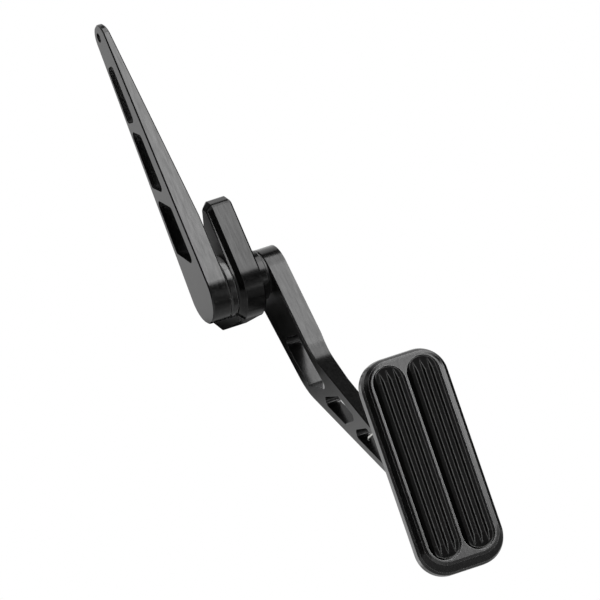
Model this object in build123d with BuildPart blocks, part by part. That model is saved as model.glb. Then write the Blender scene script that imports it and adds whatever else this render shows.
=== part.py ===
"""Billet throttle pedal for a firewall: a lever above the pivot pulls the cable, an arm below it carries the pad.

Frame: X runs along the pivot shaft to the driver's right, +Y points into the firewall, +Z is up.
The origin is the middle of the two mounting holes on the block's firewall face.
"""
import math
import os

from build123d import *

os.makedirs("parts", exist_ok=True)

# Where the pivot shaft lies, measured from the middle of the mounting holes
pivot_y = -50.0
pivot_z = -4.5

# Stack along the shaft, left to right
block_thick = 16.85
ring_thick = 4.76
lever_thick = 12.7
running_gap = 0.12
inner_washer_thick = 0.95
outer_washer_thick = 1.9
collar_thick = 5.4
arm_thick = 12.4
block_left = -block_thick / 2
block_right = block_thick / 2
ring_right = block_left - running_gap
ring_left = ring_right - ring_thick
lever_left = ring_left - lever_thick
inner_washer_left = block_right + running_gap
collar_left = inner_washer_left + inner_washer_thick
outer_washer_left = collar_left + collar_thick
arm_left = outer_washer_left + outer_washer_thick
arm_right = arm_left + arm_thick

# Shaft, bushes and the screw that holds the arm on
shaft_d = 12.7
shaft_flats = 10.4
bush_clear = 0.05
bush_od = 15.875
bush_flange_d = 20.6
bush_flange_t = 1.6
bush_len = 7.0
lever_socket_depth = 8.5
screw_d = 6.0
screw_depth = 14.0
screw_head_d = 11.6
screw_head_h = 3.6
screw_key = 4.0
screw_washer_d = 19.0
screw_washer_t = 1.8
screw_recess_d = 19.8
screw_recess_depth = 3.0

# Mounting block outline, from the pivot
block_round = 24.0
block_lean = 16.1
block_top = 54.5
block_brow = 49.9
block_foot = 50.0
block_ledge = 27.0
block_heel = -18.0
block_belly_y = 33.0
block_belly_z = -25.8
block_crown_round = 5.5
block_belly_round = 3.0
block_left_chamfer = 3.8
block_rim_side = 0.32
block_rim_bevel = 1.2
block_right_chamfer = 1.2
mount_pitch = 25.4
mount_tap_d = 6.75
mount_tap_depth = 19.0

# Throttle lever, from the pivot
lever_round = 19.6
ring_round = 20.0
collar_round = 15.7
washer_round = 13.0
lever_tip_y = 32.5
lever_tip_z = 168.0
lever_tip_round = 10.0
cable_hole_d = 6.2
lever_taper_start = 46.0
lever_taper = 0.0667
pocket_round = 3.4
upper_pocket_depth = 4.0
middle_pocket_depth = 6.6
lower_pocket_depth = 9.4
edge_break = 0.8

# Pedal arm, from the pivot
arm_boss_y = 5.4
arm_boss_z = -6.15
arm_boss_round = 21.45
arm_bend_round = 45.0
arm_window_round = 2.9
arm_window_top_round = 4.2
arm_taper_start = -46.0
arm_taper_end = -78.0
arm_taper_depth = 3.0
hinge_y = -159.4
hinge_z = -162.3
hinge_eye_round = 8.3
hinge_bore_d = 7.95
hinge_pin_d = 6.35
hinge_bush_clear = 0.05

# Pad, in its own plane: x across, y up its length
pad_x = 22.84
pad_face_y = -190.0
pad_face_z = -141.3
pad_lean = 3.0
pad_width = 57.25
pad_length = 138.7
pad_wall = 5.7
pad_corner = 18.0
skirt_depth = 3.0
skirt_side = 0.8
skirt_top = 0.6
skirt_bottom = 1.2
steep_bevel_depth = 2.9
steep_bevel_side = 2.6
steep_bevel_top = 1.6
steep_bevel_bottom = 4.4
slim_bevel_depth = 0.5
slim_bevel_side = 1.7
slim_bevel_top = 1.4
slim_bevel_bottom = 1.9
pad_thick = pad_wall + skirt_depth + steep_bevel_depth + slim_bevel_depth
recess_width = 21.5
recess_pitch = 22.85
recess_margin = 1.3
recess_depth = 3.0
insert_fit = 0.5
insert_end_gap = 1.2
insert_proud = 1.8
insert_shoulder = 1.7
insert_end_level = -0.5
insert_end_run = 9.0
groove_width = 1.9
groove_pitch = 4.85
groove_depth = 1.7

# Pad bracket, its screws and the hinge
bracket_plate_t = 3.2
bracket_low = -52.0
bracket_high = 14.0
bracket_right = 37.5
lug_thick = 4.0
lug_gap = 0.4
lug_round = 8.0
coil_room = 8.4
bracket_screw_d = 4.8
bracket_screw_head_d = 8.4
bracket_screw_head_h = 2.6
bracket_screw_bite = 5.0
bracket_screw_left = -10.5
bracket_screw_right = 7.5
bracket_screw_low = -44.0
bracket_screw_high = 6.0
pin_head_d = 9.4
pin_head_t = 1.8
pin_tail = 2.6
clip_groove_d = 5.0
clip_t = 0.9
clip_d = 11.0

# Pad spring wire
wire_d = 1.5
coil_round = 5.2
coil_pitch = 1.55
coil_start = 215.0
coil_sweep = 505.0
short_leg = 18.4
long_leg = 53.0
wire_bend = 5.0


def side(x):
    """Plane across the shaft at x, its own x along +Y and its own y along +Z, centred on the pivot."""
    return Plane(origin=(x, pivot_y, pivot_z), x_dir=(0, 1, 0), z_dir=(1, 0, 0))


def up_the_pad(x):
    """Plane across the shaft at x, its own x up the pad and its own y out of the pad face, centred on the face."""
    tilt = math.radians(pad_lean)
    origin = (x, pivot_y + pad_face_y, pivot_z + pad_face_z)
    return Plane(origin=origin, x_dir=(0, math.sin(tilt), math.cos(tilt)), z_dir=(1, 0, 0))


def pad_level(height):
    """Plane parallel to the pad face, height in front of it, its own x across and its own y up the pad."""
    tilt = math.radians(pad_lean)
    out_y = -math.cos(tilt)
    out_z = math.sin(tilt)
    origin = (pad_x, pivot_y + pad_face_y + height * out_y, pivot_z + pad_face_z + height * out_z)
    return Plane(origin=origin, x_dir=(1, 0, 0), z_dir=(0, out_y, out_z))


def down_the_pad(up):
    """Plane across the pad's length, up from its centre, its own x across and its own y out of the face."""
    tilt = math.radians(pad_lean)
    origin = (pad_x, pivot_y + pad_face_y + up * math.sin(tilt), pivot_z + pad_face_z + up * math.cos(tilt))
    return Plane(origin=origin, x_dir=(1, 0, 0), z_dir=(0, -math.sin(tilt), -math.cos(tilt)))


def touch_point(center, radius, outside, turn):
    """Point where a line from outside touches the circle; turn picks which of the two."""
    across = outside[0] - center[0]
    along = outside[1] - center[1]
    heading = math.atan2(along, across) + turn * math.acos(radius / math.hypot(across, along))
    return (center[0] + radius * math.cos(heading), center[1] + radius * math.sin(heading))


def round_point(center, radius, degrees):
    """Point on a circle at an angle from its own x."""
    heading = math.radians(degrees)
    return (center[0] + radius * math.cos(heading), center[1] + radius * math.sin(heading))


lean = math.radians(block_lean)
face_out_y = -math.cos(lean)
face_out_z = math.sin(lean)
face_run = (block_brow - block_round * face_out_z) / math.cos(lean)
face_low = (block_round * face_out_y, block_round * face_out_z)
face_high = (face_low[0] + face_run * math.sin(lean), block_brow)
heel = (block_foot, block_heel)
heel_touch = touch_point((0.0, 0.0), block_round, heel, -1)
belly = (block_belly_y, block_belly_z)
belly_front = round_point((0.0, 0.0), block_round, -100)

# Mounting block: a thick plate with its round under the pivot and a firewall foot behind it
with BuildPart() as mount_block:
    with BuildSketch(side(block_left)) as block_outline:
        with BuildLine():
            Polyline(
                face_low,
                face_high,
                (0.0, block_top),
                (19.2, block_ledge),
                (block_foot, block_ledge),
                heel,
                heel_touch,
                close=True,
            )
        make_face()
        Circle(block_round)
    extrude(amount=block_thick)
    crown_edges = mount_block.edges().filter_by(Axis.X).group_by(Axis.Z)[-2:]
    fillet(crown_edges[0] + crown_edges[1], radius=block_crown_round)
    ledge_point = Vector(0, pivot_y + 19.2, pivot_z + block_ledge)
    ledge_edges = mount_block.edges().filter_by(Axis.X).sort_by_distance(ledge_point)
    fillet(ledge_edges[0], radius=14.0)
    driver_side = mount_block.edges().group_by(Axis.X)[0].filter_by_position(
        Axis.Y, pivot_y - 40, pivot_y - 1
    )
    chamfer(driver_side, length=block_left_chamfer)
    bevel_rim = mount_block.edges().group_by(Axis.X)[0].filter_by_position(
        Axis.Y, pivot_y - 40, pivot_y - 1
    )
    left_face = mount_block.faces().sort_by(Axis.X)[0]
    chamfer(bevel_rim, length=block_rim_side, length2=block_rim_bevel, reference=left_face)
    far_side = mount_block.edges().group_by(Axis.X)[-1].filter_by_position(
        Axis.Y, pivot_y - 40, pivot_y - 1
    )
    chamfer(far_side, length=block_right_chamfer)
    with BuildSketch(side(block_left)) as belly_outline:
        with BuildLine():
            Polyline(
                (belly_front[0], block_heel),
                belly_front,
                belly,
                heel,
                (block_foot, 0.0),
                close=True,
            )
        make_face()
        fillet(belly_outline.vertices().sort_by_distance(belly)[0], radius=block_belly_round)
    extrude(amount=block_thick - block_right_chamfer)
    with Locations(side(block_left)):
        Hole(radius=bush_od / 2)
    with BuildSketch(side(block_left)) as left_seat:
        Circle(bush_flange_d / 2 + 0.2)
    extrude(amount=bush_flange_t, mode=Mode.SUBTRACT)
    with BuildSketch(side(block_right)) as right_seat:
        Circle(bush_flange_d / 2 + 0.2)
    extrude(amount=-bush_flange_t, mode=Mode.SUBTRACT)
    with BuildSketch(Plane.XZ) as tap_sketch:
        with GridLocations(0, mount_pitch, 1, 2):
            Circle(mount_tap_d / 2)
    extrude(amount=mount_tap_depth, mode=Mode.SUBTRACT)
mount_block.part.label = "mount_block"
export_step(mount_block.part, "parts/mount_block.step")

# Flanged bushes pressed into the block from both sides, flanges flush with its faces
with BuildPart() as bush_left:
    with BuildSketch(side(block_left)) as left_flange:
        Circle(bush_flange_d / 2)
    extrude(amount=bush_flange_t)
    with BuildSketch(side(block_left)) as left_barrel:
        Circle(bush_od / 2)
    extrude(amount=bush_len)
    with BuildSketch(side(block_left)) as left_bore:
        Circle(shaft_d / 2 + bush_clear)
    extrude(amount=bush_len, mode=Mode.SUBTRACT)
bush_left.part.label = "bush_left"
export_step(bush_left.part, "parts/bush_left.step")

with BuildPart() as bush_right:
    with BuildSketch(side(block_right)) as right_flange:
        Circle(bush_flange_d / 2)
    extrude(amount=-bush_flange_t)
    with BuildSketch(side(block_right)) as right_barrel:
        Circle(bush_od / 2)
    extrude(amount=-bush_len)
    with BuildSketch(side(block_right)) as right_bore:
        Circle(shaft_d / 2 + bush_clear)
    extrude(amount=-bush_len, mode=Mode.SUBTRACT)
bush_right.part.label = "bush_right"
export_step(bush_right.part, "parts/bush_right.step")

# Throttle lever: flat on its outer face, thinned on its inner face towards the cable hole
set_screw_d = 5.0
set_screw_len = 9.0
set_screw_key = 2.5
lever_socket_end = ring_left - lever_socket_depth
lever_screw_x = ring_left - 4.6
with BuildPart() as throttle_lever:
    with BuildSketch(side(lever_left)) as lever_outline:
        Circle(lever_round)
        with Locations((lever_tip_y, lever_tip_z)):
            Circle(lever_tip_round)
        make_hull()
    extrude(amount=lever_thick)
    thin_top = pivot_z + 200
    thin_start = pivot_z + lever_taper_start
    thin_depth = lever_taper * (200 - lever_taper_start)
    with BuildSketch(Plane.XZ.offset(-20)) as thin_wedge:
        with BuildLine():
            Polyline(
                (ring_left, thin_start),
                (ring_left + 5, thin_start),
                (ring_left + 5, thin_top),
                (ring_left - thin_depth, thin_top),
                close=True,
            )
        make_face()
    extrude(amount=120, mode=Mode.SUBTRACT)
    chamfer(throttle_lever.edges().group_by(Axis.X)[0], length=edge_break)
    chamfer(throttle_lever.edges().group_by(Axis.X)[-1].filter_by(GeomType.CIRCLE), length=edge_break)
    with BuildSketch(side(lever_left)) as upper_pocket:
        with BuildLine():
            Polyline((26.6, 151.2), (36.9, 150.2), (32.0, 113.8), (18.7, 113.2), close=True)
        make_face()
        fillet(upper_pocket.vertices(), radius=pocket_round)
    extrude(amount=upper_pocket_depth, mode=Mode.SUBTRACT)
    with BuildSketch(side(lever_left)) as middle_pocket:
        with BuildLine():
            Polyline((15.3, 104.6), (31.3, 109.2), (25.8, 71.6), (6.4, 65.8), close=True)
        make_face()
        fillet(middle_pocket.vertices(), radius=pocket_round)
    extrude(amount=middle_pocket_depth, mode=Mode.SUBTRACT)
    with BuildSketch(side(lever_left)) as lower_pocket:
        with BuildLine():
            Polyline((2.3, 56.2), (24.9, 64.1), (19.4, 28.3), (-6.6, 17.5), close=True)
        make_face()
        fillet(lower_pocket.vertices(), radius=pocket_round)
    extrude(amount=lower_pocket_depth, mode=Mode.SUBTRACT)
    with BuildSketch(side(lever_left)) as cable_hole:
        with Locations((34.6, 170.0)):
            Circle(cable_hole_d / 2)
    extrude(amount=lever_thick, mode=Mode.SUBTRACT)
    with BuildSketch(side(lever_socket_end)) as lever_socket:
        Circle(shaft_d / 2)
    extrude(amount=lever_socket_depth, mode=Mode.SUBTRACT)
    with BuildSketch(Plane.XZ.offset(-pivot_y)) as lever_tap:
        with Locations((lever_screw_x, pivot_z)):
            Circle(set_screw_d / 2)
    extrude(amount=-lever_round - 1, mode=Mode.SUBTRACT)
throttle_lever.part.label = "throttle_lever"
export_step(throttle_lever.part, "parts/throttle_lever.step")

# Set screw that locks the lever on the shaft, driven from the firewall side
with BuildPart() as lever_set_screw:
    with BuildSketch(Plane.XZ.offset(-pivot_y - shaft_d / 2)) as lever_screw_body:
        with Locations((lever_screw_x, pivot_z)):
            Circle(set_screw_d / 2)
    extrude(amount=-set_screw_len)
    with BuildSketch(Plane.XZ.offset(-pivot_y - shaft_d / 2 - set_screw_len)) as lever_screw_key:
        with Locations((lever_screw_x, pivot_z)):
            RegularPolygon(radius=set_screw_key / 2, side_count=6, major_radius=False)
    extrude(amount=3.0, mode=Mode.SUBTRACT)
lever_set_screw.part.label = "lever_set_screw"
export_step(lever_set_screw.part, "parts/lever_set_screw.step")

# Spacer ring between the lever and the block
with BuildPart() as lever_ring:
    with BuildSketch(side(ring_left)) as ring_face:
        Circle(ring_round)
        Circle(shaft_d / 2, mode=Mode.SUBTRACT)
    extrude(amount=ring_thick)
    chamfer(lever_ring.edges().filter_by(GeomType.CIRCLE).group_by(SortBy.RADIUS)[-1], length=edge_break)
lever_ring.part.label = "lever_ring"
export_step(lever_ring.part, "parts/lever_ring.step")

# Pivot shaft with two flats where the arm sits and a tapped right end
shaft_end = arm_right - screw_recess_depth - 1.2
with BuildPart() as pivot_shaft:
    with BuildSketch(side(lever_socket_end)) as shaft_round:
        Circle(shaft_d / 2)
    extrude(amount=shaft_end - lever_socket_end)
    with BuildSketch(side(arm_left)) as flats:
        Rectangle(30, 30)
        Rectangle(30, shaft_flats, mode=Mode.SUBTRACT)
    extrude(amount=arm_thick, mode=Mode.SUBTRACT)
    with BuildSketch(side(shaft_end)) as shaft_tap:
        Circle(screw_d / 2)
    extrude(amount=-screw_depth, mode=Mode.SUBTRACT)
pivot_shaft.part.label = "pivot_shaft"
export_step(pivot_shaft.part, "parts/pivot_shaft.step")

# Thrust washers either side of the shaft collar
with BuildPart() as inner_washer:
    with BuildSketch(side(inner_washer_left)) as inner_washer_face:
        Circle(washer_round)
        Circle(shaft_d / 2, mode=Mode.SUBTRACT)
    extrude(amount=inner_washer_thick)
inner_washer.part.label = "inner_washer"
export_step(inner_washer.part, "parts/inner_washer.step")

with BuildPart() as outer_washer:
    with BuildSketch(side(outer_washer_left)) as outer_washer_face:
        Circle(washer_round)
        Circle(shaft_d / 2, mode=Mode.SUBTRACT)
    extrude(amount=outer_washer_thick)
outer_washer.part.label = "outer_washer"
export_step(outer_washer.part, "parts/outer_washer.step")

# Shaft collar with its set screw, driven from underneath
collar_screw_d = 3.4
collar_screw_len = 7.0
collar_mid = collar_left + collar_thick / 2
with BuildPart() as shaft_collar:
    with BuildSketch(side(collar_left)) as collar_face:
        Circle(collar_round)
        Circle(shaft_d / 2, mode=Mode.SUBTRACT)
    extrude(amount=collar_thick)
    chamfer(shaft_collar.edges().filter_by(GeomType.CIRCLE).group_by(SortBy.RADIUS)[-1], length=0.5)
    with BuildSketch(Plane.XY.offset(pivot_z)) as collar_tap:
        with Locations((collar_mid, pivot_y)):
            Circle(collar_screw_d / 2)
    extrude(amount=-collar_round - 1, mode=Mode.SUBTRACT)
shaft_collar.part.label = "shaft_collar"
export_step(shaft_collar.part, "parts/shaft_collar.step")

with BuildPart() as collar_set_screw:
    with BuildSketch(Plane.XY.offset(pivot_z - shaft_d / 2)) as collar_screw_body:
        with Locations((collar_mid, pivot_y)):
            Circle(collar_screw_d / 2)
    extrude(amount=-collar_screw_len)
    with BuildSketch(Plane.XY.offset(pivot_z - shaft_d / 2 - collar_screw_len)) as collar_screw_key:
        with Locations((collar_mid, pivot_y)):
            RegularPolygon(radius=0.85, side_count=6, major_radius=False)
    extrude(amount=2.0, mode=Mode.SUBTRACT)
collar_set_screw.part.label = "collar_set_screw"
export_step(collar_set_screw.part, "parts/collar_set_screw.step")

# Pedal arm: boss round the shaft, a bend towards the driver, three windows, an eye for the hinge pin
arm_boss = (arm_boss_y, arm_boss_z)
arm_eye = (hinge_y, hinge_z)
driver_bend = (-41.0, -56.7)
rear_bend = (-10.0, -77.7)
boss_driver = touch_point(arm_boss, arm_boss_round, driver_bend, -1)
boss_rear = touch_point(arm_boss, arm_boss_round, rear_bend, 1)
eye_driver = touch_point(arm_eye, hinge_eye_round, driver_bend, 1)
eye_rear = touch_point(arm_eye, hinge_eye_round, rear_bend, -1)
with BuildPart() as pedal_arm:
    with BuildSketch(side(arm_left)) as arm_outline:
        with BuildLine():
            Polyline(boss_driver, driver_bend, eye_driver)
            ThreePointArc(eye_driver, round_point(arm_eye, hinge_eye_round, 218), eye_rear)
            Polyline(eye_rear, rear_bend, boss_rear)
            ThreePointArc(boss_rear, round_point(arm_boss, arm_boss_round, 75), boss_driver)
        make_face()
        fillet(arm_outline.vertices().sort_by_distance(driver_bend)[0], radius=arm_bend_round)
        fillet(arm_outline.vertices().sort_by_distance(rear_bend)[0], radius=arm_bend_round)
    extrude(amount=arm_thick)
    with BuildSketch(Plane.XZ.offset(-pivot_y - 60)) as arm_thinning:
        with BuildLine():
            Polyline(
                (arm_right, pivot_z + arm_taper_start),
                (arm_right - arm_taper_depth, pivot_z + arm_taper_end),
                (arm_right - arm_taper_depth, pivot_z - 200),
                (arm_right + 5, pivot_z - 200),
                (arm_right + 5, pivot_z + arm_taper_start),
                close=True,
            )
        make_face()
    extrude(amount=260, mode=Mode.SUBTRACT)
    chamfer(pedal_arm.edges().group_by(Axis.X)[0], length=edge_break)
    with BuildSketch(side(arm_left)) as arm_windows:
        with BuildLine():
            top_opening = Polyline(
                (-27.5, -42.1), (1.0, -42.1), (-18.0, -74.6), (-50.5, -80.6), (-37.0, -60.0), close=True
            )
        make_face()
        with BuildLine():
            middle_opening = Polyline(
                (-66.5, -86.2), (-41.0, -84.0), (-40.5, -89.6), (-63.0, -104.0), (-87.0, -103.4), close=True
            )
        make_face()
        with BuildLine():
            end_opening = Polyline(
                (-99.5, -110.0), (-79.0, -109.0), (-77.5, -114.0), (-125.0, -144.0), (-134.0, -139.0), close=True
            )
        make_face()
        fillet(arm_windows.vertices().sort_by(Axis.Y)[:-2], radius=arm_window_round)
        fillet(arm_windows.vertices().sort_by(Axis.Y)[-2:], radius=arm_window_top_round)
        Circle(shaft_d / 2)
        with Locations((hinge_y, hinge_z)):
            Circle(hinge_bore_d / 2)
    extrude(amount=arm_thick, mode=Mode.SUBTRACT)
    with BuildSketch(side(arm_left)) as arm_flats:
        Circle(shaft_d / 2)
        Rectangle(30, shaft_flats, mode=Mode.SUBTRACT)
    extrude(amount=arm_thick)
    with BuildSketch(side(arm_right)) as screw_recess:
        Circle(screw_recess_d / 2)
    extrude(amount=-screw_recess_depth, mode=Mode.SUBTRACT)
pedal_arm.part.label = "pedal_arm"
export_step(pedal_arm.part, "parts/pedal_arm.step")

# Screw and washer that clamp the arm on the shaft end, sunk into the boss
washer_seat = arm_right - screw_recess_depth
with BuildPart() as arm_washer:
    with BuildSketch(side(washer_seat)) as arm_washer_face:
        Circle(screw_washer_d / 2)
        Circle(screw_d / 2, mode=Mode.SUBTRACT)
    extrude(amount=screw_washer_t)
    chamfer(arm_washer.edges().filter_by(GeomType.CIRCLE).sort_by(Axis.X)[-2:], length=0.3)
arm_washer.part.label = "arm_washer"
export_step(arm_washer.part, "parts/arm_washer.step")

head_seat = washer_seat + screw_washer_t
with BuildPart() as arm_screw:
    with BuildSketch(side(head_seat)) as screw_shank:
        Circle(screw_d / 2)
    extrude(amount=shaft_end - head_seat - screw_depth + 1.5)
    with BuildSketch(side(head_seat)) as screw_head:
        Circle(screw_head_d / 2)
    extrude(amount=screw_head_h)
    chamfer(arm_screw.edges().filter_by(GeomType.CIRCLE).sort_by(Axis.X)[-1], length=1.2)
    with BuildSketch(side(head_seat + screw_head_h)) as screw_socket:
        RegularPolygon(radius=screw_key / 2, side_count=6, major_radius=False)
    extrude(amount=-2.4, mode=Mode.SUBTRACT)
arm_screw.part.label = "arm_screw"
export_step(arm_screw.part, "parts/arm_screw.step")

# Hinge bush in the arm's eye
hinge_right = arm_right - arm_taper_depth
with BuildPart() as hinge_bush:
    with BuildSketch(side(arm_left)) as hinge_bush_face:
        with Locations((hinge_y, hinge_z)):
            Circle(hinge_bore_d / 2)
            Circle(hinge_pin_d / 2 + hinge_bush_clear, mode=Mode.SUBTRACT)
    extrude(amount=hinge_right - arm_left)
hinge_bush.part.label = "hinge_bush"
export_step(hinge_bush.part, "parts/hinge_bush.step")

bracket_screw_spots = [
    (bracket_screw_left, bracket_screw_high),
    (bracket_screw_right, bracket_screw_high),
    (bracket_screw_left, bracket_screw_low),
    (bracket_screw_right, bracket_screw_low),
]

# Pad plate: flat back, a short wall, then three bevels up to the face, with two recesses for the rubber
skirt_level = pad_wall - pad_thick
steep_level = skirt_level + skirt_depth
slim_level = steep_level + steep_bevel_depth
steep_width = pad_width - 2 * skirt_side
steep_length = pad_length - skirt_top - skirt_bottom
steep_shift = (skirt_bottom - skirt_top) / 2
slim_width = steep_width - 2 * steep_bevel_side
slim_length = steep_length - steep_bevel_top - steep_bevel_bottom
slim_shift = steep_shift + (steep_bevel_bottom - steep_bevel_top) / 2
face_width = slim_width - 2 * slim_bevel_side
face_length = slim_length - slim_bevel_top - slim_bevel_bottom
face_shift = slim_shift + (slim_bevel_bottom - slim_bevel_top) / 2
steep_corner = pad_corner - skirt_side
slim_corner = steep_corner - steep_bevel_side
face_corner = slim_corner - slim_bevel_side
recess_length = face_length - 2 * recess_margin
with BuildPart() as pad_plate:
    with BuildSketch(pad_level(-pad_thick)) as pad_back:
        RectangleRounded(pad_width, pad_length, pad_corner)
    extrude(amount=pad_wall)
    with BuildSketch(pad_level(skirt_level)) as skirt_foot:
        RectangleRounded(pad_width, pad_length, pad_corner)
    with BuildSketch(pad_level(steep_level)) as skirt_head:
        with Locations((0, steep_shift)):
            RectangleRounded(steep_width, steep_length, steep_corner)
    loft()
    with BuildSketch(pad_level(steep_level)) as steep_foot:
        with Locations((0, steep_shift)):
            RectangleRounded(steep_width, steep_length, steep_corner)
    with BuildSketch(pad_level(slim_level)) as steep_head:
        with Locations((0, slim_shift)):
            RectangleRounded(slim_width, slim_length, slim_corner)
    loft()
    with BuildSketch(pad_level(slim_level)) as slim_foot:
        with Locations((0, slim_shift)):
            RectangleRounded(slim_width, slim_length, slim_corner)
    with BuildSketch(pad_level(0)) as slim_head:
        with Locations((0, face_shift)):
            RectangleRounded(face_width, face_length, face_corner)
    loft()
    with BuildSketch(pad_level(0)) as recesses:
        with Locations((0, face_shift)):
            with GridLocations(recess_pitch, 0, 2, 1):
                SlotOverall(recess_length, recess_width, rotation=90)
    extrude(amount=-recess_depth, mode=Mode.SUBTRACT)
    with BuildSketch(pad_level(-pad_thick)) as pad_taps:
        with Locations(*bracket_screw_spots):
            Circle(bracket_screw_d / 2)
    extrude(amount=bracket_screw_bite, mode=Mode.SUBTRACT)
pad_plate.part.label = "pad_plate"
export_step(pad_plate.part, "parts/pad_plate.step")

# Rubber inserts: low pillows that slope down to their ends, where the lengthwise grooves run out to a point
insert_width = recess_width - 2 * insert_fit
insert_length = recess_length - insert_fit - insert_end_gap
insert_shift = face_shift + (insert_end_gap - insert_fit) / 2
insert_top = insert_shift + insert_length / 2
insert_bottom = insert_shift - insert_length / 2
above_insert = insert_proud + 2.0
groove_corners = [
    (-0.6 * groove_width, 0.2 * groove_depth),
    (0.0, -groove_depth),
    (0.6 * groove_width, 0.2 * groove_depth),
]
with BuildPart() as insert_left:
    with BuildSketch(pad_level(-recess_depth)) as left_pillow:
        with Locations((-recess_pitch / 2, insert_shift)):
            SlotOverall(insert_length, insert_width, rotation=90)
    extrude(amount=recess_depth + insert_proud)
    chamfer(insert_left.faces().sort_by(Axis.Y)[0].edges(), length=insert_shoulder)
    with BuildSketch(up_the_pad(pad_x - recess_pitch / 2)) as left_slopes:
        with BuildLine():
            Polyline(
                (insert_top + 1, insert_end_level),
                (insert_top, insert_end_level),
                (insert_top - insert_end_run, insert_proud),
                (insert_top - insert_end_run, above_insert),
                (insert_top + 1, above_insert),
                close=True,
            )
        make_face()
        with BuildLine():
            Polyline(
                (insert_bottom - 1, insert_end_level),
                (insert_bottom, insert_end_level),
                (insert_bottom + insert_end_run, insert_proud),
                (insert_bottom + insert_end_run, above_insert),
                (insert_bottom - 1, above_insert),
                close=True,
            )
        make_face()
    extrude(amount=insert_width, both=True, mode=Mode.SUBTRACT)
    with BuildSketch(down_the_pad(insert_top)) as left_grooves:
        with Locations((-recess_pitch / 2, insert_proud)):
            with GridLocations(groove_pitch, 0, 3, 1):
                Polygon(*groove_corners, align=None)
    extrude(amount=insert_length, mode=Mode.SUBTRACT)
insert_left.part.label = "insert_left"
export_step(insert_left.part, "parts/insert_left.step")

with BuildPart() as insert_right:
    with BuildSketch(pad_level(-recess_depth)) as right_pillow:
        with Locations((recess_pitch / 2, insert_shift)):
            SlotOverall(insert_length, insert_width, rotation=90)
    extrude(amount=recess_depth + insert_proud)
    chamfer(insert_right.faces().sort_by(Axis.Y)[0].edges(), length=insert_shoulder)
    with BuildSketch(up_the_pad(pad_x + recess_pitch / 2)) as right_slopes:
        with BuildLine():
            Polyline(
                (insert_top + 1, insert_end_level),
                (insert_top, insert_end_level),
                (insert_top - insert_end_run, insert_proud),
                (insert_top - insert_end_run, above_insert),
                (insert_top + 1, above_insert),
                close=True,
            )
        make_face()
        with BuildLine():
            Polyline(
                (insert_bottom - 1, insert_end_level),
                (insert_bottom, insert_end_level),
                (insert_bottom + insert_end_run, insert_proud),
                (insert_bottom + insert_end_run, above_insert),
                (insert_bottom - 1, above_insert),
                close=True,
            )
        make_face()
    extrude(amount=insert_width, both=True, mode=Mode.SUBTRACT)
    with BuildSketch(down_the_pad(insert_top)) as right_grooves:
        with Locations((recess_pitch / 2, insert_proud)):
            with GridLocations(groove_pitch, 0, 3, 1):
                Polygon(*groove_corners, align=None)
    extrude(amount=insert_length, mode=Mode.SUBTRACT)
insert_right.part.label = "insert_right"
export_step(insert_right.part, "parts/insert_right.step")

# Where the hinge pin lies in the pad's own plane
tilt = math.radians(pad_lean)
hinge_dy = hinge_y - pad_face_y
hinge_dz = hinge_z - pad_face_z
hinge_up = hinge_dy * math.sin(tilt) + hinge_dz * math.cos(tilt)
hinge_out = -hinge_dy * math.cos(tilt) + hinge_dz * math.sin(tilt)

# Pad bracket: a plate on the pad's back with two lugs for the hinge pin
left_lug_right = arm_left - lug_gap - coil_room
left_lug_left = left_lug_right - lug_thick
right_lug_left = hinge_right + lug_gap
right_lug_right = right_lug_left + lug_thick
plate_back = -pad_thick - bracket_plate_t
bracket_mid = (left_lug_left + bracket_right) / 2 - pad_x
bracket_width = bracket_right - left_lug_left
with BuildPart() as pad_bracket:
    with BuildSketch(pad_level(plate_back)) as bracket_plate:
        with Locations((bracket_mid, (bracket_low + bracket_high) / 2)):
            RectangleRounded(bracket_width, bracket_high - bracket_low, 5.0)
    extrude(amount=bracket_plate_t)
    with BuildSketch(up_the_pad(left_lug_left)) as left_lug:
        with Locations((hinge_up, hinge_out)):
            Circle(lug_round)
        with Locations((hinge_up, plate_back + 0.5)):
            Rectangle(34, 1.0)
        make_hull()
    extrude(amount=lug_thick)
    with BuildSketch(up_the_pad(right_lug_left)) as right_lug:
        with Locations((hinge_up, hinge_out)):
            Circle(lug_round)
        with Locations((hinge_up, plate_back + 0.5)):
            Rectangle(34, 1.0)
        make_hull()
    extrude(amount=lug_thick)
    with BuildSketch(side(left_lug_left)) as lug_bore:
        with Locations((hinge_y, hinge_z)):
            Circle(hinge_pin_d / 2)
    extrude(amount=right_lug_right - left_lug_left, mode=Mode.SUBTRACT)
    with BuildSketch(pad_level(plate_back)) as bracket_holes:
        with Locations(*bracket_screw_spots):
            Circle(bracket_screw_d / 2)
    extrude(amount=bracket_plate_t, mode=Mode.SUBTRACT)
pad_bracket.part.label = "pad_bracket"
export_step(pad_bracket.part, "parts/pad_bracket.step")

# Four screws that hold the bracket to the pad
with BuildPart() as bracket_screws:
    with BuildSketch(pad_level(plate_back)) as bracket_shanks:
        with Locations(*bracket_screw_spots):
            Circle(bracket_screw_d / 2)
    extrude(amount=bracket_plate_t + bracket_screw_bite)
    with BuildSketch(pad_level(plate_back)) as bracket_heads:
        with Locations(*bracket_screw_spots):
            Circle(bracket_screw_head_d / 2)
    extrude(amount=-bracket_screw_head_h)
    chamfer(bracket_screws.faces().group_by(Axis.Y)[-1].edges(), length=0.8)
    with BuildSketch(pad_level(plate_back - bracket_screw_head_h)) as bracket_keys:
        with Locations(*bracket_screw_spots):
            RegularPolygon(radius=1.5, side_count=6, major_radius=False)
    extrude(amount=1.8, mode=Mode.SUBTRACT)
bracket_screws.part.label = "bracket_screws"
export_step(bracket_screws.part, "parts/bracket_screws.step")

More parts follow.
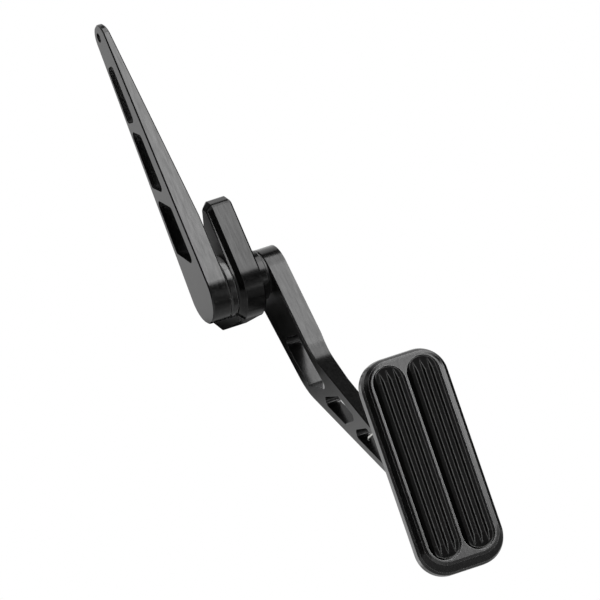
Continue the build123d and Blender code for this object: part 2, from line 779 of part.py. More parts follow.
# Hinge pin with a head on the left and a clip groove on the right
pin_left = left_lug_left - pin_head_t
pin_right = right_lug_right + pin_tail
clip_left = right_lug_right + 0.15
with BuildPart() as hinge_pin:
    with BuildSketch(side(left_lug_left)) as pin_head:
        with Locations((hinge_y, hinge_z)):
            Circle(pin_head_d / 2)
    extrude(amount=-pin_head_t)
    with BuildSketch(side(left_lug_left)) as pin_barrel:
        with Locations((hinge_y, hinge_z)):
            Circle(hinge_pin_d / 2)
    extrude(amount=pin_right - left_lug_left)
    with BuildSketch(side(clip_left)) as pin_groove:
        with Locations((hinge_y, hinge_z)):
            Circle(hinge_pin_d / 2 + 1)
            Circle(clip_groove_d / 2, mode=Mode.SUBTRACT)
    extrude(amount=clip_t, mode=Mode.SUBTRACT)
    chamfer(hinge_pin.edges().filter_by(GeomType.CIRCLE).sort_by(Axis.X)[-1], length=0.6)
    chamfer(hinge_pin.edges().filter_by(GeomType.CIRCLE).sort_by(Axis.X)[0], length=0.5)
hinge_pin.part.label = "hinge_pin"
export_step(hinge_pin.part, "parts/hinge_pin.step")

# Clip in the pin's groove
with BuildPart() as hinge_clip:
    with BuildSketch(side(clip_left)) as clip_face:
        with Locations((hinge_y, hinge_z)):
            Circle(clip_d / 2)
            Circle(clip_groove_d / 2, mode=Mode.SUBTRACT)
        with Locations((hinge_y, hinge_z - clip_d / 2)):
            Rectangle(clip_groove_d - 0.8, clip_d, mode=Mode.SUBTRACT)
    extrude(amount=clip_t)
hinge_clip.part.label = "hinge_clip"
export_step(hinge_clip.part, "parts/hinge_clip.step")

# Pad spring: a coil on the hinge pin, a short leg on the bracket and a long leg hooked into the arm's window
coil_left = left_lug_right + 1.35 + wire_d / 2
coil_center = (coil_left, pivot_y + hinge_y, pivot_z + hinge_z)
hook_bend = Vector(arm_left - 1.2, pivot_y - 103.0, pivot_z - 115.8)
hook_end = Vector(arm_left + 0.9, pivot_y - 95.0, pivot_z - 117.4)
with BuildPart() as pad_spring:
    with BuildLine() as spring_path:
        coil = Helix(
            pitch=coil_pitch,
            height=coil_pitch * coil_sweep / 360,
            radius=coil_round,
            center=coil_center,
            direction=(1, 0, 0),
            mode=Mode.PRIVATE,
        ).rotate(Axis(coil_center, (1, 0, 0)), coil_start - 90)
        add(coil)
        coil_in = coil @ 0
        coil_out = coil @ 1
        Line(coil_in - short_leg * (coil % 0), coil_in)
        FilletPolyline(coil_out, coil_out + long_leg * (coil % 1), hook_bend, hook_end, radius=wire_bend)
    wire_path = spring_path.wire()
    with BuildSketch(Plane(origin=wire_path @ 0, z_dir=wire_path % 0)) as spring_wire:
        Circle(wire_d / 2)
    sweep(path=wire_path)
pad_spring.part.label = "pad_spring"
export_step(pad_spring.part, "parts/pad_spring.step")
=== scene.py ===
# %% [markdown]
# A hanging accelerator pedal, cut from black anodised aluminium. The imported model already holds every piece
# at its true size, so this lesson gives those pieces their finishes, lights them like a studio picture, and
# sets the camera. The model comes in as a fixed frame: metres, X along the pivot shaft, Y into the firewall,
# Z up.

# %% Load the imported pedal
import math

import bpy
import numpy as np
from mathutils import Matrix, Vector


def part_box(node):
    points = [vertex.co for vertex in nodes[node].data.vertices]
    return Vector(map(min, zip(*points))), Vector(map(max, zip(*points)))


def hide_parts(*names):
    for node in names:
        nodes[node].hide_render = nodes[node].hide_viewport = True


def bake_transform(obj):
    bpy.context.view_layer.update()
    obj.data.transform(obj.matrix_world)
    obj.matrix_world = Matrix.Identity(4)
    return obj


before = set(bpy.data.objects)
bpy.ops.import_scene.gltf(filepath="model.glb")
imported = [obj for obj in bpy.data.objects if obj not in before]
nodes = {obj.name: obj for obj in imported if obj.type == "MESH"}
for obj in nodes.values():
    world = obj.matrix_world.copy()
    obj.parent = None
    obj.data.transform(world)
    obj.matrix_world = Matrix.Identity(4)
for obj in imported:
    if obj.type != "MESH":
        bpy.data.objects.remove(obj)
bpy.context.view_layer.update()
MM = 0.001

# %% [markdown]
# Colours are written as the hex values that a paint chart or a picture editor shows. Blender works with
# linear light, so one function undoes the sRGB curve. A second one adds a node with its settings and its
# links in one line, which keeps each finish below short enough to read as a recipe. The third starts an
# empty material.

# %% Helpers for colours and nodes


def linear(code):
    """sRGB hex to linear: (c + 0.055) / 1.055 to the power 2.4, or c / 12.92 in the deep shades."""
    channels = [int(code[i:i + 2], 16) / 255 for i in (1, 3, 5)]
    return tuple(c / 12.92 if c <= 0.04045 else ((c + 0.055) / 1.055) ** 2.4 for c in channels) + (1.0,)


def add(tree, kind, settings=None, links=None):
    """One node: settings fill its properties or sockets by name, links join its inputs to outputs."""
    node = tree.nodes.new(kind)
    for name, value in (settings or {}).items():
        if isinstance(name, str) and hasattr(node, name):
            setattr(node, name, value)
        else:
            node.inputs[name].default_value = value
    for name, output in (links or {}).items():
        tree.links.new(output, node.inputs[name])
    return node


def finish(name):
    """A new material with an empty node tree."""
    material = bpy.data.materials.new(name)
    material.use_nodes = True
    material.node_tree.nodes.clear()
    return material, material.node_tree


print("the hex grey #808080 is", round(linear("#808080")[0], 3), "in linear light")

# %% [markdown]
# Black anodised aluminium is a grey metal whose oxide skin has been dyed: almost no colour of its own, a dim
# mirror when looked at straight on and a bright one at a glancing angle. The narrow faces were run over a
# belt, so they carry fine scratches along the part, while the flat sides were blasted to an even satin. Noise
# gives both: two Mapping nodes draw it out along the piece for the belt, and it stays round for the blast.
# Real scratches and grit are finer. They are drawn as coarse as they need to be to show in the picture.

# %% Belt scratches and blasted grain
SCRATCH_SIZE = (0.35 * MM, 0.35 * MM, 9 * MM)
MOTTLE_SIZE = (1.6 * MM, 1.6 * MM, 10 * MM)
MOTTLE_SHARE = 0.45
GRIT_SIZE = 0.4 * MM


def belt_and_blast(tree, place, side, lean):
    """Noise along a line that leans by so many degrees from Z towards Y, and round noise on the sides."""
    turn = (-math.radians(lean), 0, 0)
    fine = add(tree, "ShaderNodeMapping", {"vector_type": "TEXTURE", "Rotation": turn, "Scale": SCRATCH_SIZE},
               {"Vector": place})
    scratch = add(tree, "ShaderNodeTexNoise", {"Scale": 1.0, "Detail": 3.0, "Roughness": 0.6},
                  {"Vector": fine.outputs[0]})
    broad = add(tree, "ShaderNodeMapping", {"vector_type": "TEXTURE", "Rotation": turn, "Scale": MOTTLE_SIZE},
                {"Vector": place})
    mottle = add(tree, "ShaderNodeTexNoise", {"Scale": 1.0, "Detail": 2.0}, {"Vector": broad.outputs[0]})
    grain = add(tree, "ShaderNodeTexNoise", {"Scale": 1 / GRIT_SIZE, "Detail": 2.0}, {"Vector": place})
    belt = add(tree, "ShaderNodeMix", {"data_type": "FLOAT", "Factor": MOTTLE_SHARE},
               {"A": scratch.outputs["Fac"], "B": mottle.outputs["Fac"]})
    pattern = add(tree, "ShaderNodeMix", {"data_type": "FLOAT"},
                  {"Factor": side, "A": belt.outputs[0], "B": grain.outputs["Fac"]})
    return pattern.outputs[0]


print("belt scratches", SCRATCH_SIZE[0] / MM, "mm wide and", SCRATCH_SIZE[2] / MM, "mm long")

# %% [markdown]
# Handling rubs the dye off the sharp edges first. The same pale edges also stand in for edge highlights, so the
# mask is partly real wear and partly painted highlight. The pocket floors are turned to a matt grey, which
# lifts them above the black faces. A Bevel node rounds the normal near an edge, so where that leaves the true
# normal there is an edge. Ambient Occlusion tells how open a point is, which finds the pockets. The lever's eye
# for the cable is drilled and stays black, so the pockets' share ends below it.

# %% Rubbed edges with painted highlight, lifted pockets
RUB_AND_HIGHLIGHT_WIDTH = 0.55 * MM
POCKET_REACH = 8 * MM
POCKET_TOP, EYE_FOOT = 151 * MM, 157 * MM


def rub_highlight_and_lift_share(tree, place, true_normal, wear_and_highlight, pocket_lift):
    """Edges, rubbed and painted highlight: how far the bevelled normal leaves the true one; or the pocket lift,
    if more.
    """
    # The edge mask is partly real rubbing and partly painted highlight: it greys the edges so that they read as
    # light lines.
    edges = add(tree, "ShaderNodeBevel", {"samples": 6, "Radius": RUB_AND_HIGHLIGHT_WIDTH})
    agree = add(tree, "ShaderNodeVectorMath", {"operation": "DOT_PRODUCT"},
                {0: edges.outputs[0], 1: true_normal})
    painted_edge_light = add(tree, "ShaderNodeMapRange", {"From Min": 0.998, "From Max": 0.96, "To Max": wear_and_highlight},
               {"Value": agree.outputs["Value"]})
    if not pocket_lift:
        return painted_edge_light.outputs[0]
    # The pocket lift: where Ambient Occlusion finds a pocket below the cable eye, the finish goes to a matt
    # grey.
    open_sky = add(tree, "ShaderNodeAmbientOcclusion", {"samples": 4, "Distance": POCKET_REACH})
    hollow = add(tree, "ShaderNodeMapRange", {"From Min": 0.85, "From Max": 0.45, "To Max": pocket_lift},
                 {"Value": open_sky.outputs["AO"]})
    axes = add(tree, "ShaderNodeSeparateXYZ", links={0: place})
    below_eye = add(tree, "ShaderNodeMapRange", {"From Min": EYE_FOOT, "From Max": POCKET_TOP},
                    {"Value": axes.outputs["Z"]})
    pocket = add(tree, "ShaderNodeMath", {"operation": "MULTIPLY"},
                 {0: hollow.outputs[0], 1: below_eye.outputs[0]})
    matt = add(tree, "ShaderNodeMath", {"operation": "MAXIMUM"}, {0: painted_edge_light.outputs[0], 1: pocket.outputs[0]})
    return matt.outputs[0]


print("edges rubbed over", round(RUB_AND_HIGHLIGHT_WIDTH / MM, 2), "mm, pockets up to", round(POCKET_TOP / MM), "mm")

# %% [markdown]
# Each face also has the gloss that its tool left. The blasted sides face along X, and X is the axis of both
# hinges, so the normal's X tells them from the belted faces in every pose. Faces that lean between the two
# are the bevels, which a cutter left smoothest, and they get a roughness of their own.

# %% Gloss by the way a face was cut
SATIN = 0.30


def tool_gloss(tree, across, side, pattern, rough, cut_rough):
    """Roughness: rough on belted faces, SATIN on the sides, cut_rough on bevels, each 12 % up or down."""
    worked = add(tree, "ShaderNodeMix", {"data_type": "FLOAT", "A": rough, "B": SATIN}, {"Factor": side})
    slope = add(tree, "ShaderNodeMapRange", {"From Min": 0.12, "From Max": 0.24}, {"Value": across})
    flank = add(tree, "ShaderNodeMapRange", {"From Min": 0.99, "From Max": 0.975}, {"Value": across})
    cut = add(tree, "ShaderNodeMath", {"operation": "MULTIPLY"}, {0: slope.outputs[0], 1: flank.outputs[0]})
    polish = add(tree, "ShaderNodeMix", {"data_type": "FLOAT", "B": cut_rough},
                 {"Factor": cut.outputs[0], "A": worked.outputs[0]})
    wander = add(tree, "ShaderNodeMapRange",
                 {"From Min": 0.25, "From Max": 0.75, "To Min": 0.88, "To Max": 1.12}, {"Value": pattern})
    gloss = add(tree, "ShaderNodeMath", {"operation": "MULTIPLY"},
                {0: polish.outputs[0], 1: wander.outputs[0]})
    return gloss.outputs[0]


print("blasted sides have a roughness of", SATIN)

# %% [markdown]
# The finish puts these together. The pattern shades the colour and lifts a faint bump, and a fine Bevel breaks
# every edge, as on any machined part. On the rubbed edges, which also carry a painted highlight, and in the
# lifted pockets, the metal's mirror gives way to a matt grey. One recipe makes four blacks: each piece was cut
# from its own bar, so its scratches run along its own slope, and its grey is painted light, set so that it
# comes out as bright as it looks. The pad has the most edge grey, partly wear from shoes and partly painted
# highlight along its bevels.

# %% Black anodised aluminium
RUBBED_AND_PAINTED_LIGHT_GREY = "#6a6a6a"
BROKEN_EDGE = 0.25 * MM
SCRATCH_DEPTH = 0.04 * MM


def anodised(name, lean, grey, rough, cut_rough, metal, wear_and_highlight, pocket_lift=0.0):
    """Colour: grey times 0.62 to 1.38 by the pattern; where matt (rub, painted highlight, pocket lift), pale
    grey, metal 0.
    """
    material, tree = finish(name)
    place = add(tree, "ShaderNodeTexCoord").outputs["Object"]
    facing = add(tree, "ShaderNodeNewGeometry")
    normal = add(tree, "ShaderNodeSeparateXYZ", links={0: facing.outputs["Normal"]})
    across = add(tree, "ShaderNodeMath", {"operation": "ABSOLUTE"}, {0: normal.outputs["X"]}).outputs[0]
    side = add(tree, "ShaderNodeMapRange", {"From Min": 0.80, "From Max": 0.97}, {"Value": across}).outputs[0]
    pattern = belt_and_blast(tree, place, side, lean)
    shade = add(tree, "ShaderNodeMapRange",
                {"From Min": 0.25, "From Max": 0.75, "To Min": 0.62, "To Max": 1.38}, {"Value": pattern})
    dyed = add(tree, "ShaderNodeMix",
               {"data_type": "RGBA", "blend_type": "MULTIPLY", "Factor": 1.0, 6: linear(grey)},
               {7: shade.outputs[0]})
    matt = rub_highlight_and_lift_share(tree, place, facing.outputs["True Normal"], wear_and_highlight, pocket_lift)
    colour = add(tree, "ShaderNodeMix", {"data_type": "RGBA", 7: linear(RUBBED_AND_PAINTED_LIGHT_GREY)},
                 {"Factor": matt, 6: dyed.outputs[2]})
    mirror = add(tree, "ShaderNodeMix", {"data_type": "FLOAT", "A": metal, "B": 0.0}, {"Factor": matt})
    rounded = add(tree, "ShaderNodeBevel", {"samples": 4, "Radius": BROKEN_EDGE})
    bump = add(tree, "ShaderNodeBump", {"Strength": 0.02, "Distance": SCRATCH_DEPTH},
               {"Height": pattern, "Normal": rounded.outputs[0]})
    gloss = tool_gloss(tree, across, side, pattern, rough, cut_rough)
    shader = add(tree, "ShaderNodeBsdfPrincipled", links={
        "Base Color": colour.outputs[2], "Metallic": mirror.outputs[0], "Roughness": gloss,
        "Normal": bump.outputs[0]})
    add(tree, "ShaderNodeOutputMaterial", links={"Surface": shader.outputs[0]})
    print(name, "has", len(tree.nodes), "nodes")
    return material


# Each grey is painted light: it is set apart so that its piece comes out as bright as it looks under these
# lamps.
lever_black = anodised("black_anodised_lever", lean=13.7, grey="#3a3a3a", rough=0.22, cut_rough=0.13,
                       metal=0.94, wear_and_highlight=0.12, pocket_lift=0.80)
block_black = anodised("black_anodised_block", lean=16.1, grey="#2e2e2e", rough=0.22, cut_rough=0.13,
                       metal=0.94, wear_and_highlight=0.12)
arm_black = anodised("black_anodised_arm", lean=24, grey="#323232", rough=0.19, cut_rough=0.13,
                     metal=0.90, wear_and_highlight=0.12)
# The pad's large edge share is partly wear and partly painted highlight along its bevels.
pad_black = anodised("black_anodised_pad", lean=3.0, grey="#3c3c3c", rough=0.26, cut_rough=0.22,
                     metal=0.98, wear_and_highlight=0.75)

# %% [markdown]
# The tread strips are ribbed. Their grooves and the left shoulder of each strip, which faces away from the
# light, get painted shade: a deeper black. Ambient Occlusion over the depth of a groove finds the grooves. The
# shoulders come from X, wrapped at the strips' spacing, so that one rule serves both.

# %% Painted shade in the grooves and on the shoulders
GROOVE_REACH = 1.8 * MM
SHOULDER_START, SHOULDER_END = 1.9 * MM, 2.8 * MM
strip_low, strip_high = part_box("insert_left")
strip_width = strip_high[0] - strip_low[0]
strip_middle = (strip_low[0] + strip_high[0]) / 2
strip_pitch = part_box("insert_right")[0][0] - strip_low[0]


def outside_painted_shade_share(tree, place):
    """Openness times the way in from the left shoulder: 1 on a rib, near 0 in a groove or on a shoulder."""
    # Painted shade: Ambient Occlusion darkens the grooves, and the left shoulder of each strip is darkened too.
    open_sky = add(tree, "ShaderNodeAmbientOcclusion", {"samples": 6, "Distance": GROOVE_REACH})
    groove = add(tree, "ShaderNodeMapRange", {"From Min": 0.55, "From Max": 0.95, "To Min": 0.05},
                 {"Value": open_sky.outputs["AO"]})
    axes = add(tree, "ShaderNodeSeparateXYZ", links={0: place})
    shift = add(tree, "ShaderNodeMath", {"operation": "SUBTRACT", 1: strip_middle}, {0: axes.outputs["X"]})
    across = add(tree, "ShaderNodeMath", {"operation": "WRAP", 1: strip_pitch / 2, 2: -strip_pitch / 2},
                 {0: shift.outputs[0]})
    inner = add(tree, "ShaderNodeMapRange",
                {"From Min": SHOULDER_START - strip_width / 2, "From Max": SHOULDER_END - strip_width / 2},
                {"Value": across.outputs[0]})
    outside_painted_shade = add(tree, "ShaderNodeMath", {"operation": "MULTIPLY"},
                {0: groove.outputs[0], 1: inner.outputs[0]})
    return outside_painted_shade.outputs[0]


print("strips", round(strip_width / MM, 1), "mm wide, spaced by", round(strip_pitch / MM, 1), "mm")

# %% [markdown]
# Moulded rubber is a deep black with hardly any shine. It has a faint pebble from the mould, a fast noise, and
# a little chalky dust, a slow one. The edges of the ribs carry a painted highlight, a light grey that is
# strongest where they face left, as if lit from that side, and a Bevel node finds those edges and rounds them.

# %% Moulded rubber
PEBBLE_SIZE, PEBBLE_DEPTH = 0.5 * MM, 0.1 * MM
DUST_SIZE = 14 * MM
RIB_EDGE = 1.0 * MM


def moulded_rubber(name):
    """Black by the dust, blacker in the painted shade, mixed to grey by a painted highlight on left-facing rib
    edges.
    """
    material, tree = finish(name)
    place = add(tree, "ShaderNodeTexCoord").outputs["Object"]
    facing = add(tree, "ShaderNodeNewGeometry")
    pebble = add(tree, "ShaderNodeTexNoise", {"Scale": 1 / PEBBLE_SIZE, "Detail": 3.0}, {"Vector": place})
    dust = add(tree, "ShaderNodeTexNoise", {"Scale": 1 / DUST_SIZE, "Detail": 4.0}, {"Vector": place})
    dusty = add(tree, "ShaderNodeMix", {"data_type": "RGBA", 6: linear("#060606"), 7: linear("#0e0e0e")},
                {"Factor": dust.outputs["Fac"]})
    outside_painted_shade = outside_painted_shade_share(tree, place)
    # Painted shade: the grooves and the left shoulders go to a deeper black.
    black = add(tree, "ShaderNodeMix", {"data_type": "RGBA", 6: linear("#020202")},
                {"Factor": outside_painted_shade, 7: dusty.outputs[2]})
    rounded = add(tree, "ShaderNodeBevel", {"samples": 8, "Radius": RIB_EDGE})
    agree = add(tree, "ShaderNodeVectorMath", {"operation": "DOT_PRODUCT"},
                {0: rounded.outputs[0], 1: facing.outputs["True Normal"]})
    edge = add(tree, "ShaderNodeMapRange", {"From Min": 0.997, "From Max": 0.96},
               {"Value": agree.outputs["Value"]})
    axes = add(tree, "ShaderNodeSeparateXYZ", links={0: rounded.outputs[0]})
    # Painted light from the left: edges that face left get the full grey, edges that face right get 0.45 of it.
    left = add(tree, "ShaderNodeMapRange", {"From Min": 0.25, "From Max": -0.25, "To Min": 0.45},
               {"Value": axes.outputs["X"]})
    painted_rib_highlight = add(tree, "ShaderNodeMath", {"operation": "MULTIPLY"}, {0: edge.outputs[0], 1: outside_painted_shade})
    painted_edge_light = add(tree, "ShaderNodeMath", {"operation": "MULTIPLY"}, {0: painted_rib_highlight.outputs[0], 1: left.outputs[0]})
    # Painted highlight: the light grey on the rib edges.
    colour = add(tree, "ShaderNodeMix", {"data_type": "RGBA", 7: linear("#5c5c5c")},
                 {"Factor": painted_edge_light.outputs[0], 6: black.outputs[2]})
    gloss = add(tree, "ShaderNodeMapRange", {"To Min": 0.62, "To Max": 0.78}, {"Value": pebble.outputs["Fac"]})
    bump = add(tree, "ShaderNodeBump", {"Strength": 0.12, "Distance": PEBBLE_DEPTH},
               {"Height": pebble.outputs["Fac"], "Normal": rounded.outputs[0]})
    shader = add(tree, "ShaderNodeBsdfPrincipled", {"IOR": 1.5, "Specular IOR Level": 0.04},
                 {"Base Color": colour.outputs[2], "Roughness": gloss.outputs[0], "Normal": bump.outputs[0]})
    add(tree, "ShaderNodeOutputMaterial", links={"Surface": shader.outputs[0]})
    print(name, "has", len(tree.nodes), "nodes")
    return material


rubber = moulded_rubber("moulded_rubber")

# %% [markdown]
# The small hardware is made of five plain materials: steel with a black oxide skin for the screws, ground steel
# for the shaft and the pin, bright drawn wire for the spring and the clip, sintered bronze for the bushes on
# the shaft, and turned plastic for the thrust washers and the hinge's bush. They share a recipe, a base shade
# broken by a noise at the size of their grain, so one function makes them all.

# %% Hardware finishes
GLOSS_SPREAD = 0.06
SMALL_EDGE = 0.12 * MM
GRAIN_DEPTH = 0.05 * MM


def hardware(name, dark, light, grain, metallic, rough, lift):
    """A shade between two hex colours by a noise of the given grain in mm, with roughness and bump from it."""
    material, tree = finish(name)
    place = add(tree, "ShaderNodeTexCoord").outputs["Object"]
    noise = add(tree, "ShaderNodeTexNoise", {"Scale": 1 / (grain * MM), "Detail": 4.0}, {"Vector": place})
    colour = add(tree, "ShaderNodeMix", {"data_type": "RGBA", 6: linear(dark), 7: linear(light)},
                 {"Factor": noise.outputs["Fac"]})
    gloss = add(tree, "ShaderNodeMapRange", {"To Min": rough - GLOSS_SPREAD, "To Max": rough + GLOSS_SPREAD},
                {"Value": noise.outputs["Fac"]})
    rounded = add(tree, "ShaderNodeBevel", {"samples": 4, "Radius": SMALL_EDGE})
    bump = add(tree, "ShaderNodeBump", {"Strength": lift, "Distance": GRAIN_DEPTH},
               {"Height": noise.outputs["Fac"], "Normal": rounded.outputs[0]})
    shader = add(tree, "ShaderNodeBsdfPrincipled", {"Metallic": metallic},
                 {"Base Color": colour.outputs[2], "Roughness": gloss.outputs[0], "Normal": bump.outputs[0]})
    add(tree, "ShaderNodeOutputMaterial", links={"Surface": shader.outputs[0]})
    print(name, "grain", grain, "mm")
    return material


oxide = hardware("black_oxide_steel", "#2a2a2c", "#3b3b3d", grain=0.4, metallic=1.0, rough=0.34, lift=0.2)
ground = hardware("ground_steel", "#a9a9a6", "#c4c4c1", grain=0.3, metallic=1.0, rough=0.24, lift=0.1)
wire = hardware("drawn_spring_wire", "#c2c2be", "#e2e2de", grain=0.6, metallic=1.0, rough=0.22, lift=0.1)
bronze = hardware("sintered_bronze", "#8a6436", "#b98d55", grain=0.25, metallic=1.0, rough=0.42, lift=0.35)
acetal = hardware("turned_acetal", "#0c0c0c", "#161616", grain=0.3, metallic=0.0, rough=0.45, lift=0.2)

# %% [markdown]
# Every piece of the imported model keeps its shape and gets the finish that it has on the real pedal. The model
# comes with plain stand-in materials, which are cleared first.

# %% Dress every piece
wears = {
    "throttle_lever": lever_black, "lever_ring": lever_black, "mount_block": block_black,
    "shaft_collar": block_black, "pedal_arm": arm_black, "pad_plate": pad_black, "pad_bracket": pad_black,
    "insert_left": rubber, "insert_right": rubber,
    "lever_set_screw": oxide, "collar_set_screw": oxide, "arm_screw": oxide, "arm_washer": oxide,
    "bracket_screws": oxide, "pivot_shaft": ground, "hinge_pin": ground, "hinge_clip": wire,
    "pad_spring": wire, "bush_left": bronze, "bush_right": bronze,
    "inner_washer": acetal, "outer_washer": acetal, "hinge_bush": acetal,
}
for name, material in wears.items():
    nodes[name].data.materials.clear()
    nodes[name].data.materials.append(material)
print("dressed:", len(wears), "of", len(nodes))

# %% [markdown]
# The pad's torsion spring works between two bodies: its short leg leans on the pad's bracket, and its long leg
# hooks into the arm. A twin of its wire stands in for the node, which is hidden.

# %% A twin of the spring
spring = bpy.data.objects.new("torsion_spring", nodes["pad_spring"].data.copy())
bpy.context.scene.collection.objects.link(spring)
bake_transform(spring)
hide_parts("pad_spring")
print("spring points:", len(spring.data.vertices))

# %% [markdown]
# The studio is white all round. Its world is white to the camera, to mirrors and to glass, and dim to matt
# surfaces, so the white never becomes extra light on the pedal. The Light Path node tells which kind of ray is
# looking, and one function asks it for the world and for the floor.

# %% White world


def seen_as_white(tree):
    """1 for camera, glossy and transmission rays, and 0 for the others."""
    ray = add(tree, "ShaderNodeLightPath")
    seen = add(tree, "ShaderNodeMath", {"operation": "MAXIMUM"},
               {0: ray.outputs["Is Camera Ray"], 1: ray.outputs["Is Glossy Ray"]})
    white = add(tree, "ShaderNodeMath", {"operation": "MAXIMUM"},
                {0: seen.outputs[0], 1: ray.outputs["Is Transmission Ray"]})
    return white.outputs[0]


world = bpy.data.worlds.new("studio")
bpy.context.scene.world = world
world.use_nodes = True
sky = world.node_tree
sky.nodes.clear()
tone = add(sky, "ShaderNodeMix", {"data_type": "RGBA", 6: linear("#505050"), 7: linear("#ffffff")},
           {"Factor": seen_as_white(sky)})
light = add(sky, "ShaderNodeBackground", {"Strength": 1.0}, {"Color": tone.outputs[2]})
add(sky, "ShaderNodeOutputWorld", links={"Surface": light.outputs[0]})
print("world", world.name, "has", len(sky.nodes), "nodes")

# %% [markdown]
# The floor is a pale matt sheet below the pad. Near the pedal a part of it stays matt and so keeps a soft
# shadow. Further out the white share grows, until the floor's rim melts into the white wall.

# %% Pale floor
FLOOR = -0.34
FLOOR_WIDE = 2.4
SHADOW_NEAR, SHADOW_FAR, WHITE_NEAR = 0.35, 1.1, 0.72


def sheet(name, corner, edge_u, edge_v, material):
    """A flat grid of two parameters: corner plus u times one edge plus v times the other."""
    u, v = np.meshgrid([0.0, 1.0], [0.0, 1.0])
    points = np.array(corner) + u.ravel()[:, None] * np.array(edge_u) + v.ravel()[:, None] * np.array(edge_v)
    mesh = bpy.data.meshes.new(name)
    mesh.from_pydata(points.tolist(), [], [(0, 1, 3, 2)])
    piece = bpy.data.objects.new(name, mesh)
    bpy.context.scene.collection.objects.link(piece)
    mesh.materials.append(material)
    return piece


floor_paint, tree = finish("studio_floor")
here = add(tree, "ShaderNodeTexCoord")
away = add(tree, "ShaderNodeVectorMath", {"operation": "LENGTH"}, {0: here.outputs["Object"]})
fade = add(tree, "ShaderNodeMapRange",
           {"From Min": SHADOW_NEAR, "From Max": SHADOW_FAR, "To Min": WHITE_NEAR, "To Max": 1.0},
           {"Value": away.outputs["Value"]})
share = add(tree, "ShaderNodeMath", {"operation": "MULTIPLY"}, {0: seen_as_white(tree), 1: fade.outputs[0]})
matt = add(tree, "ShaderNodeBsdfDiffuse", {"Color": linear("#f4f4f2")})
glow = add(tree, "ShaderNodeEmission", {"Color": linear("#ffffff"), "Strength": 1.0})
mix = add(tree, "ShaderNodeMixShader", links={0: share.outputs[0], 1: matt.outputs[0], 2: glow.outputs[0]})
add(tree, "ShaderNodeOutputMaterial", links={"Surface": mix.outputs[0]})
sheet("floor", (-FLOOR_WIDE / 2, -FLOOR_WIDE / 2, FLOOR), (FLOOR_WIDE, 0, 0), (0, FLOOR_WIDE, 0), floor_paint)
print("floor at", FLOOR, "m,", FLOOR_WIDE, "m wide")

# %% [markdown]
# Dark metal shows little but its surroundings, so a studio shapes it with cards. Black ones make the bevels
# read as black lines, grey and pale ones lift the sides, and white ones draw the light lines on the round ends.
# Only mirrors see the cards: they are hidden from the camera and from matt surfaces and throw no shadow. The
# flag is the exception. It stands between the key lamp and the pedal, and takes a part of that lamp's light off
# the lower arm and the pad.

# %% Cards and flag
CARD_GREYS = {"black": 0.003, "dark": 0.07, "dim": 0.33, "grey": 0.55, "pale": 0.95, "white": 1.7}
CARDS = [
    ("card_left", "black", (-0.9, -0.85, -0.9), (0, 0.63, 0), (0, 0, 2.0)),
    ("card_side", "grey", (-0.9, -0.22, -0.9), (0, 0.55, 0), (0, 0, 2.0)),
    ("card_rear_left", "black", (-0.9, 0.33, -0.9), (0, 0.40, 0), (0, 0, 2.0)),
    ("card_right", "black", (1.0, 0.03, -0.9), (0, 0.57, 0), (0, 0, 2.0)),
    ("card_above", "black", (-1.5, -0.15, 1.88), (3.0, 0, 0), (0, 0.80, 0)),
    ("card_edge", "white", (-0.085, -0.12, -0.24), (0.05, 0, 0), (0, 0, 0.18)),
    ("card_near", "black", (-0.045, 0.012, -0.080), (0.06, 0, 0), (0, 0, 0.058)),
    ("card_front", "black", (-1.2, -1.75, FLOOR), (2.4, 0, 0), (0, 0, 2.2)),
    ("card_below", "dim", (-1.0, -1.6, FLOOR + 0.01), (2.0, 0, 0), (0, 1.5, 0)),
    ("card_strip", "white", (-1.0, -0.76, FLOOR + 0.02), (2.0, 0, 0), (0, 0.20, 0)),
    ("card_under", "grey", (-1.0, -0.1, FLOOR + 0.01), (2.0, 0, 0), (0, 0.65, 0)),
    ("card_low_left", "pale", (-0.6, 0.55, FLOOR), (0.6, 0, 0), (0, 0, 0.24)),
    ("card_mid_left", "dark", (-0.9, 0.55, -0.10), (0.9, 0, 0), (0, 0, 0.055)),
    ("card_behind", "black", (0.030, -0.030, -0.145), (0.055, 0, 0), (0, 0, 0.065)),
    ("card_low_right", "dark", (0.0, 0.55, FLOOR), (1.0, 0, 0), (0, 0, 0.34)),
    ("flag", "black", (-0.30, -0.50, -0.03), (0.9, 0, 0), (0, 0, 0.190)),
]


def card_paint(name, grey):
    """An even glow, given as the share of the white wall's brightness."""
    material, tree = finish(name)
    glow = add(tree, "ShaderNodeEmission", {"Color": (grey, grey, grey, 1), "Strength": 1.0})
    add(tree, "ShaderNodeOutputMaterial", links={"Surface": glow.outputs[0]})
    return material


paints = {paint: card_paint(paint + "_card", grey) for paint, grey in CARD_GREYS.items()}
for name, paint, corner, edge_u, edge_v in CARDS:
    card = sheet(name, corner, edge_u, edge_v, paints[paint])
    card.visible_camera = False
    card.visible_diffuse = False
    card.visible_shadow = name == "flag"
print("cards:", len(CARDS) - 1, "and a flag")

# %% [markdown]
# Three soft lamps give the light. The key stands in front, to the right and above, and grades the belted faces
# from light to dark. A broad one hangs overhead, and a narrow strip at the left lights the faces that look
# that way.

# %% Lamps
PIVOT = Vector((0.0, -0.08, 0.0))


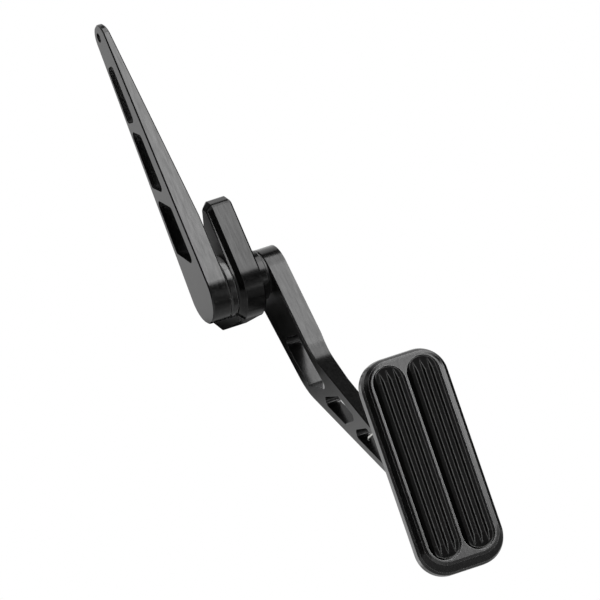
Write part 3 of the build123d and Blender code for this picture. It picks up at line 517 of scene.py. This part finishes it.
def soft_lamp(name, place, aim, width, height, power):
    """A rectangular lamp that faces its aim: sizes in metres, power in watts."""
    data = bpy.data.lights.new(name, "AREA")
    data.shape = "RECTANGLE"
    data.size = width
    data.size_y = height
    data.energy = power
    lamp = bpy.data.objects.new(name, data)
    bpy.context.scene.collection.objects.link(lamp)
    lamp.location = place
    lamp.rotation_euler = (Vector(aim) - Vector(place)).to_track_quat("-Z", "Y").to_euler()
    print(name, [round(v, 2) for v in lamp.location], power, "W")


soft_lamp("key", PIVOT + Vector((0.459, -0.900, 0.4525)), PIVOT, width=1.2, height=1.17, power=26)
soft_lamp("overhead", PIVOT + Vector((0.35, -0.67, 1.90)), PIVOT + Vector((0.35, -0.67, 0)),
          width=2.0, height=1.20, power=26)
soft_lamp("strip", PIVOT + Vector((-0.85, 0.095, 0.20)), PIVOT, width=0.08, height=0.7, power=1.6)

# %% [markdown]
# The picture was taken from the driver's side and a little to the left, level with the pedal, with a long
# lens, and the pedal leans 18 degrees to the left in it. The camera stands far back on that line of sight, and
# its own axes are turned by the lean. WIDE is the width in metres that fits into the frame at the pedal.

# %% Camera
TURN, LEAN = math.radians(-18.2), math.radians(18.0)
FAR, WIDE = 16.0, 0.3708
FRAME_MIDDLE = Vector((0.0345, -0.050, -0.0271))
SENSOR = 36
back = Vector((math.sin(TURN), -math.cos(TURN), 0))
level = Vector((math.cos(TURN), math.sin(TURN), 0))
upright = Vector((0, 0, 1))
right = math.cos(LEAN) * level - math.sin(LEAN) * upright
up = math.sin(LEAN) * level + math.cos(LEAN) * upright
lens = bpy.data.cameras.new("camera")
lens.sensor_width = SENSOR
lens.lens = SENSOR * FAR / WIDE
lens.clip_end = 2.5 * FAR
camera = bpy.data.objects.new("camera", lens)
bpy.context.scene.collection.objects.link(camera)
axes = Matrix((right, up, back)).transposed().to_4x4()
camera.matrix_world = Matrix.Translation(FRAME_MIDDLE + back * FAR) @ axes
bpy.context.scene.camera = camera
bpy.context.scene.view_settings.view_transform = "Standard"
print("camera", [round(v, 3) for v in camera.location], "lens", round(lens.lens, 1))
